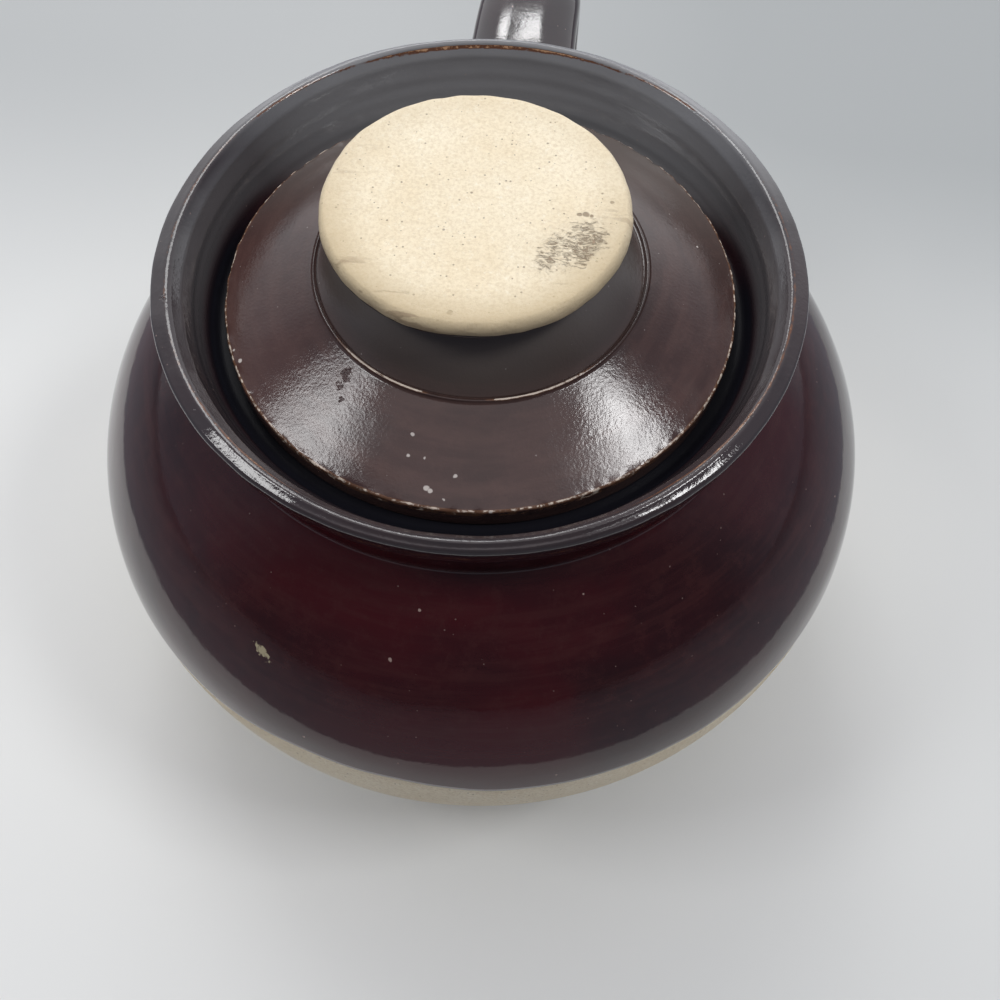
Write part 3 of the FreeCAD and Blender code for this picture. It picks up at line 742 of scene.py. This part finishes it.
discSection = drawSection((0, knob["discBase"]), [
    ((knob["discFoot"], knob["discBase"]), 6),
    ((knob["discRadius"], knob["discSide"][0]), 3),
    ((knob["discRadius"], knob["discSide"][1]), 3),
    (knob["topEdge"], 7, knob["topEdgeCentre"]),
    ((0, knob["top"]), 24),
])
discShell = turnSection(discSection, knob["turnSteps"])
moveKnob(discShell)
handThrown(discShell, *knob["waver"], lambda co: smoothStep(math.hypot(co.x, co.y), *knob["waverFrom"]))
handThrown(discShell, *knob["edgeWaver"], lambda co: smoothStep(math.hypot(co.x, co.y), *knob["edgeFrom"]))


# The knob is scuffed in a slanting patch near its right edge.
def knobScuff(co):
    if co.z <= knob["scuffAbove"]:
        return 0
    aside, ahead = co.x - knob["scuffPlace"][0], co.y - knob["scuffPlace"][1]
    along = (aside + ahead) * math.sqrt(0.5) / knob["scuffSize"][0]
    across = (aside - ahead) * math.sqrt(0.5) / knob["scuffSize"][1]
    return knob["scuffStrength"] * (1 - smoothStep(math.hypot(along, across), *knob["scuffReach"]))


# Painted shade: the disc's edge is painted darker and warmer, most at the front and least at the back.
def knobEdgeShade(co):
    radius = math.hypot(co.x - knob["shift"][0], co.y - knob["shift"][1])
    most, less = knob["edgeShadeShare"]
    return smoothStep(radius, *knob["edgeShadeFrom"]) * (most - less * smoothStep(co.y, *knob["edgeShadeBack"]))


paintWearAndLight(discShell, [], knobScuff, paintedLightMask=knobEdgeShade)
finishPiece(discShell, "knob_top", bareClay, "lid", "bare_clay", "lid_knob")
print("lid made")


# The handle: a strap pulled out of the neck and pressed on to the shoulder.

handle = {
    "halfWidth": 12.3, "halfThickness": 6, "squareness": 0.66, "groove": 0.3, "grooveWidth": 0.55,
    "rootDepth": 57.3, "lineHeight": 110, "upperCentre": (90, 94), "lowerCentre": (94, 92.9),
    "bendEnd": 99.63, "endDepth": 76.2, "slope": 28,
    "upperFlare": 1.03, "upperFade": (0.06, 0.26), "lowerFlare": 1.3, "lowerFade": (0.80, 0.97),
    "waver": (0.3, 16, 31),
}


def makeHandle():
    bm = bmesh.new()
    ring = bmesh.ops.create_circle(bm, radius=1, segments=48, cap_ends=True,
                                   matrix=Matrix.Rotation(math.pi / 2, 4, "X"))["verts"]
    for vert in ring:   # a circle pressed to a flattened oval with a shallow thumb groove on top
        angle = math.atan2(vert.co.z, vert.co.x)
        side, rise = (math.copysign(abs(part) ** handle["squareness"], part)
                      for part in (math.cos(angle), math.sin(angle)))
        inGroove = max(0, 1 - (side / handle["grooveWidth"]) ** 2) ** 2 if rise > 0 else 0
        hollow = handle["groove"] * inGroove
        vert.co = Vector((side * handle["halfWidth"], handle["rootDepth"],
                          rise * handle["halfThickness"] - hollow + handle["lineHeight"]))
    loop = bm.edges[:]
    rings = [ring]

    def addRing():
        nonlocal loop
        made = bmesh.ops.extrude_edge_only(bm, edges=loop)["geom"]
        loop = [item for item in made if isinstance(item, bmesh.types.BMEdge)]
        loop = [edge for edge in loop if all(vert in made for vert in edge.verts)]
        rings.append([item for item in made if isinstance(item, bmesh.types.BMVert)])
        return rings[-1]

    def pull(vec, steps):
        for step in range(steps):
            bmesh.ops.translate(bm, verts=addRing(), vec=Vector(vec) / steps)

    def bend(centre, degrees, steps):
        for step in range(steps):
            bmesh.ops.rotate(bm, verts=addRing(), cent=(0, *centre),
                             matrix=Matrix.Rotation(-math.radians(degrees) / steps, 3, "X"))

    pull((0, handle["upperCentre"][0] - handle["rootDepth"], 0), 14)
    bend(handle["upperCentre"], 90, 16)
    pull((0, 0, handle["lowerCentre"][1] - handle["upperCentre"][1]), 1)
    bend(handle["lowerCentre"], 90 - handle["slope"], 12)
    drop = math.radians(handle["slope"])
    reach = (handle["bendEnd"] - handle["endDepth"]) / math.cos(drop)
    pull((0, -reach * math.cos(drop), -reach * math.sin(drop)), 10)
    bmesh.ops.contextual_create(bm, geom=loop)
    # both ends widen where they were pressed on to the pot
    for number, verts in enumerate(rings):
        middle = sum((vert.co for vert in verts), Vector()) / len(verts)
        along = number / (len(rings) - 1)
        flare = (1 + (handle["upperFlare"] - 1) * (1 - smoothStep(along, *handle["upperFade"]))
                 + (handle["lowerFlare"] - 1) * smoothStep(along, *handle["lowerFade"]))
        for vert in verts:
            offset = vert.co - middle
            vert.co = middle + Vector((offset.x * flare, offset.y, offset.z))
    return bm


handleShell = makeHandle()
bmesh.ops.recalc_face_normals(handleShell, faces=handleShell.faces)
handThrown(handleShell, *handle["waver"])
paintWearAndLight(handleShell, [])
finishPiece(handleShell, "handle_glazed", handleGlaze, "pot", "handle_glaze", "handle")
print("handle made")


# The floor, the light and the camera.

studio = {
    # The sheet's colour darkens towards the back and the right to its second, darker colour: painted fall-off
    # of light.
    "floorColour": (0.70, 0.71, 0.695), "shadedFloorColour": (0.36, 0.378, 0.378), "tableColour": (0.24, 0.25, 0.28),
    "sideFade": (-0.10, 0.12), "sideShare": 0.26, "backFade": (0.0, 0.20), "backShare": 0.74,
    "toneGrain": (0.25, 3), "toneFade": (0.3, 0.7), "toneShare": 0.05, "roughness": 0.7,
    "sheetRadius": 0.205, "sheetLeft": 1.2, "sheetBack": 0.45, "sheetHeight": -0.0001,
    "cornerPower": 0.4, "tableRadius": 3, "tableHeight": -0.0015,
    "sideColour": (0.27, 0.295, 0.355), "frontColour": (0.09, 0.09, 0.112), "backColour": (1.25, 1.27, 1.32),
    "ceilingColour": (1.00, 0.95, 0.985), "frontTurn": 8, "roomFront": (-0.05, -0.55),
    "roomBack": (0.25, 0.8), "roomCeiling": (0.80, 0.93), "lampTarget": (0, 0, 0.08),
    "topLamp": {"azimuth": -22, "elevation": 56, "distance": 1.4, "size": (0.5, 0.36), "watts": 3.5},
    "backLamp": {"azimuth": -10, "elevation": 41, "distance": 1.3, "size": (0.17, 0.05), "watts": 0.45},
    "leftLamp": {"azimuth": -102, "elevation": 52.5, "distance": 1.3, "size": (0.35, 0.26), "watts": 3.3},
    "rightLamp": {"azimuth": 92, "elevation": 58, "distance": 1.3, "size": (0.34, 0.20), "watts": 4.6},
    "frontLamp": {"azimuth": 122, "elevation": 55, "distance": 1.3, "size": (0.30, 0.08), "watts": 0.25},
}


# A flat sheet, round in front and drawn out behind, its colour darkening towards the back and the right as a
# painted fall-off of light.
def makeFloor(name, radius, left, back, height, colour, shadedFloorColour):
    material, tree, shader, where = startMaterial(name)
    parts = tree.nodes.new("ShaderNodeSeparateXYZ")
    tree.links.new(where, parts.inputs["Vector"])
    side = spread(tree, parts.outputs["X"], *studio["sideFade"], 0, studio["sideShare"])
    behind = spread(tree, parts.outputs["Y"], *studio["backFade"], 0, studio["backShare"])
    fade = maths(tree, "ADD", side, behind)
    tone = spread(tree, grain(tree, where, *studio["toneGrain"]), *studio["toneFade"])
    fade = maths(tree, "ADD", fade, maths(tree, "MULTIPLY", tone, studio["toneShare"]), clamp=True)
    tree.links.new(mixColours(tree, fade, colour, shadedFloorColour), shader.inputs["Base Color"])
    shader.inputs["Roughness"].default_value = studio["roughness"]
    bm = bmesh.new()
    bmesh.ops.create_circle(bm, radius=radius, segments=128, cap_ends=True)
    for vert in bm.verts:
        if vert.co.y > 0:
            along, aside = vert.co.y / radius, vert.co.x / radius
            vert.co.y = back * along ** studio["cornerPower"]
            vert.co.x = radius * math.copysign(abs(aside) ** studio["cornerPower"], aside)
        if vert.co.x < 0:
            vert.co.x *= left
        vert.co.z = height
    mesh = bpy.data.meshes.new(name)
    bm.to_mesh(mesh)
    bm.free()
    mesh.materials.append(material)
    floor = bpy.data.objects.new(name, mesh)
    bpy.context.scene.collection.objects.link(floor)


def aimedMatrix(place, target):
    return Matrix.Translation(place) @ (target - place).to_track_quat("-Z", "Y").to_matrix().to_4x4()


def makeLamp(name, lamp):
    light = bpy.data.lights.new(name, "AREA")
    light.shape = "RECTANGLE"
    light.size, light.size_y = lamp["size"]
    light.energy = lamp["watts"]
    azimuth, elevation = math.radians(lamp["azimuth"]), math.radians(lamp["elevation"])
    place = Vector((math.sin(azimuth) * math.cos(elevation), math.cos(azimuth) * math.cos(elevation),
                    math.sin(elevation))) * lamp["distance"]
    item = bpy.data.objects.new(name, light)
    bpy.context.scene.collection.objects.link(item)
    item.matrix_world = aimedMatrix(place, Vector(studio["lampTarget"]))


makeFloor("tableTop", studio["tableRadius"], 1, studio["tableRadius"], studio["tableHeight"],
          studio["tableColour"], studio["tableColour"])
makeFloor("paleSheet", studio["sheetRadius"], studio["sheetLeft"], studio["sheetBack"],
          studio["sheetHeight"], studio["floorColour"], studio["shadedFloorColour"])
for lampName in ("topLamp", "backLamp", "leftLamp", "rightLamp", "frontLamp"):
    makeLamp(lampName, studio[lampName])


# The room is pale behind the pot and overhead, dimmer at the sides, and dark in front.
def makeRoom():
    world = bpy.data.worlds.new("room")
    world.use_nodes = True
    tree = world.node_tree
    parts = tree.nodes.new("ShaderNodeSeparateXYZ")
    turned = tree.nodes.new("ShaderNodeMapping")
    turned.inputs["Rotation"].default_value = (0, 0, -math.radians(studio["frontTurn"]))
    tree.links.new(tree.nodes.new("ShaderNodeTexCoord").outputs["Generated"], turned.inputs["Vector"])
    tree.links.new(turned.outputs["Vector"], parts.inputs["Vector"])
    front = spread(tree, parts.outputs["Y"], *studio["roomFront"])
    back = spread(tree, parts.outputs["Y"], *studio["roomBack"])
    ceiling = spread(tree, parts.outputs["Z"], *studio["roomCeiling"])
    colour = mixColours(tree, front, studio["sideColour"], studio["frontColour"])
    colour = mixColours(tree, back, colour, studio["backColour"])
    colour = mixColours(tree, ceiling, colour, studio["ceilingColour"])
    tree.links.new(colour, tree.nodes["Background"].inputs["Color"])
    bpy.context.scene.world = world


makeRoom()

view = {
    "distance": 0.13271, "height": 0.27313, "azimuth": 8.0, "pitch": 62.145, "roll": 1.124, "yaw": 2.011,
    "lens": 36, "sensorWidth": 36, "nearest": 0.01,
}
pitch, roll, yaw = (math.radians(view[part]) for part in ("pitch", "roll", "yaw"))
forward = Vector((math.sin(yaw) * math.cos(pitch), math.cos(yaw) * math.cos(pitch), -math.sin(pitch)))
level = Vector((math.cos(yaw), -math.sin(yaw), 0))
upward = level.cross(forward)
right = math.cos(roll) * level + math.sin(roll) * upward
upward = -math.sin(roll) * level + math.cos(roll) * upward
facing = Matrix((right, upward, -forward)).transposed().to_4x4()
camera = bpy.data.objects.new("camera", bpy.data.cameras.new("camera"))
camera.data.lens, camera.data.sensor_width = view["lens"], view["sensorWidth"]
camera.data.clip_start = view["nearest"]
camera.matrix_world = (Matrix.Rotation(math.radians(view["azimuth"]), 4, "Z")
                       @ Matrix.Translation((0, -view["distance"], view["height"])) @ facing)
bpy.context.scene.collection.objects.link(camera)
bpy.context.scene.camera = camera
bpy.context.scene.view_settings.view_transform = "Standard"
print("studio made")
